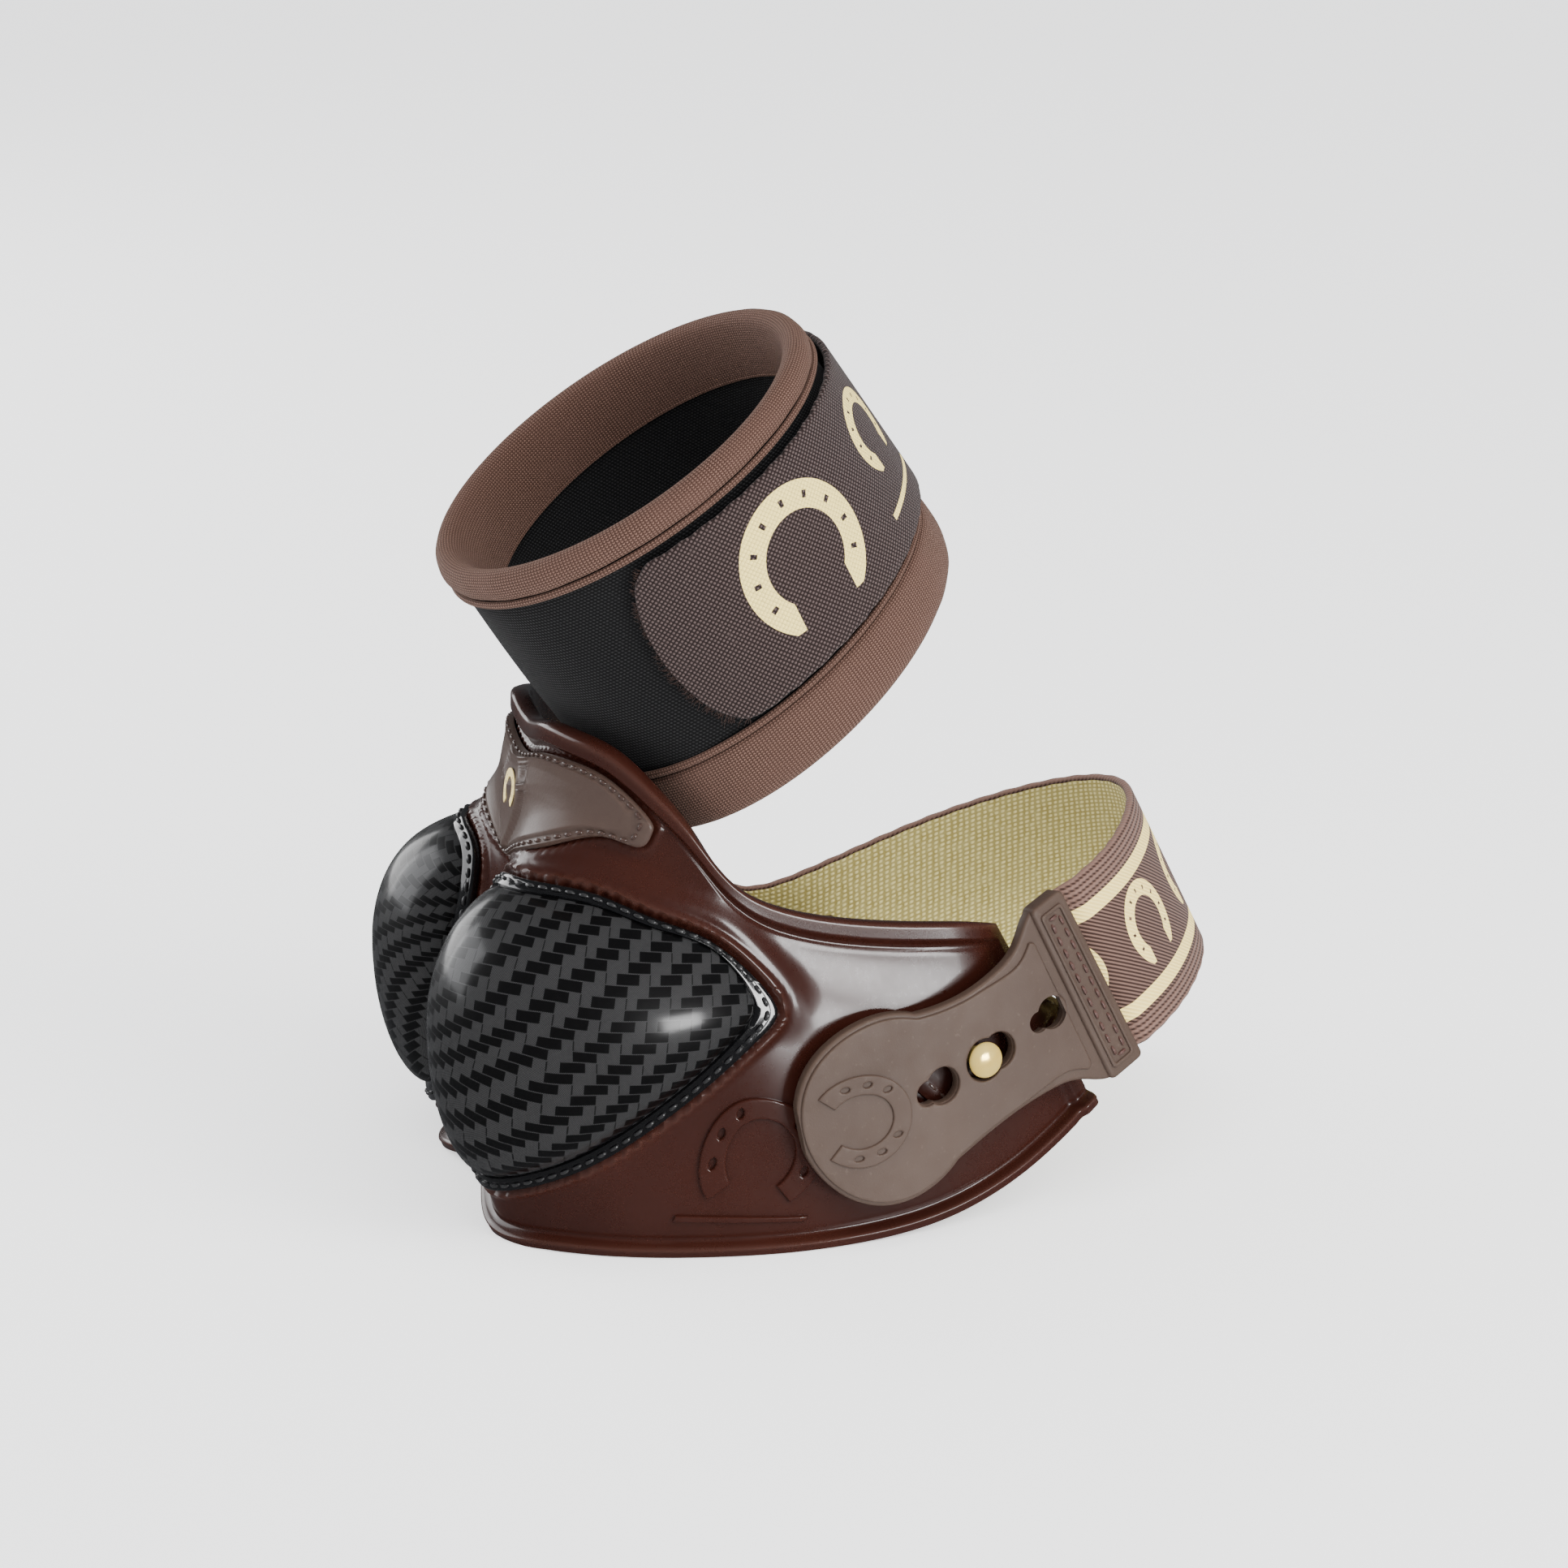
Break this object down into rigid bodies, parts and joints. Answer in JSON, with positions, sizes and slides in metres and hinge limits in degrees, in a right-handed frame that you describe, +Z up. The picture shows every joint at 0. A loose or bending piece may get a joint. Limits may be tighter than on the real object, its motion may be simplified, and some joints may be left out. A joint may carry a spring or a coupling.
{
  "type": "horse leg boot",
  "caption": "Horse fetlock and tendon boot: moulded shell with gel domes, leaning neoprene cuff with a wrap strap, and an elastic strap with a keyhole tab on a stud.",
  "frame": {"origin": "middle of the closed boot's footprint, on the plane that its lower rim stands on", "axes": "+Z up the leg, -Y out of the shell's domed front, +X towards the side with the stud and tab"},
  "size_m": [0.1226, 0.1996, 0.2042],
  "materials": {
    "moulded_brown": "moulded, glossy dark brown",
    "rubber_brown": "moulded matte brown rubber",
    "gloss_black": "clear gloss over a black woven-look print",
    "gel": "soft gel, hidden",
    "neoprene": "black knit-faced neoprene",
    "knit_brown": "brown knit tape",
    "strap_brown": "dark brown hook-and-loop webbing",
    "elastic": "woven elastic, cream inside and brown outside",
    "thread": "waxed stitching thread",
    "brass": "polished brass"
  },
  "bodies": {
    "shell": {"outer_shell": "moulded_brown", "shell_lining": "neoprene", "neck_shield": "moulded_brown", "neck_shield_thread": "thread", "dome_cover_right": "gloss_black", "dome_cover_left": "gloss_black", "dome_gel_core_right": "gel", "dome_gel_core_left": "gel", "dome_thread_right": "thread", "dome_thread_left": "thread", "stud_patch": "moulded_brown", "stud_patch_thread": "thread", "stud_head": "brass", "stud_post": "brass", "stud_back_cap": "brass", "elastic_root": "elastic", "anchor_patch": "moulded_brown", "anchor_patch_thread": "thread"},
    "strap_rear": {"elastic_rear": "elastic"},
    "strap_front": {"elastic_front": "elastic"},
    "buckle": {"buckle_tab": "rubber_brown", "tab_thread": "thread", "elastic_tail": "elastic"},
    "cuff": {"cuff_sleeve": "neoprene", "cuff_top_binding": "knit_brown", "cuff_bottom_binding": "knit_brown", "cuff_top_piping": "knit_brown", "cuff_bottom_piping": "knit_brown", "cuff_strap_root": "strap_brown", "cuff_strap_thread": "thread"},
    "cuff_flap": {"cuff_strap": "strap_brown", "cuff_hook_patch": "strap_brown"}
  },
  "joints": [
    {"name": "tab_release", "type": "hinge", "parent": "strap_front", "child": "buckle", "pos_m": [0.04455, 0.05661, 0.05462], "axis": [0, -0.4384, 0.8988], "range_deg": [0, 100]},
    {"name": "strap_rear_bend", "type": "hinge", "parent": "strap_rear", "child": "strap_front", "pos_m": [-0.00217, 0.09066, 0.06357], "axis": [0, -0.4384, 0.8988], "range_deg": [0, 55]},
    {"name": "strap_sewn_bend", "type": "hinge", "parent": "shell", "child": "strap_rear", "pos_m": [-0.05471, 0.02471, 0.02808], "axis": [0, -0.4384, 0.8988], "range_deg": [-25, 0]},
    {"name": "cuff_tilt", "type": "hinge", "parent": "shell", "child": "cuff", "pos_m": [0, -0.06035, 0.116], "axis": [1, 0, 0], "range_deg": [-18, 18]},
    {"name": "cuff_strap_peel", "type": "hinge", "parent": "cuff", "child": "cuff_flap", "pos_m": [-0.01333, 0.01124, 0.18211], "axis": [0, -0.5626, 0.8267], "range_deg": [0, 90]}
  ],
  "couplings": [
    {"joint": "strap_rear_bend", "follows": "tab_release", "ratio": 0.5},
    {"joint": "strap_sewn_bend", "follows": "tab_release", "ratio": -0.195}
  ]
}
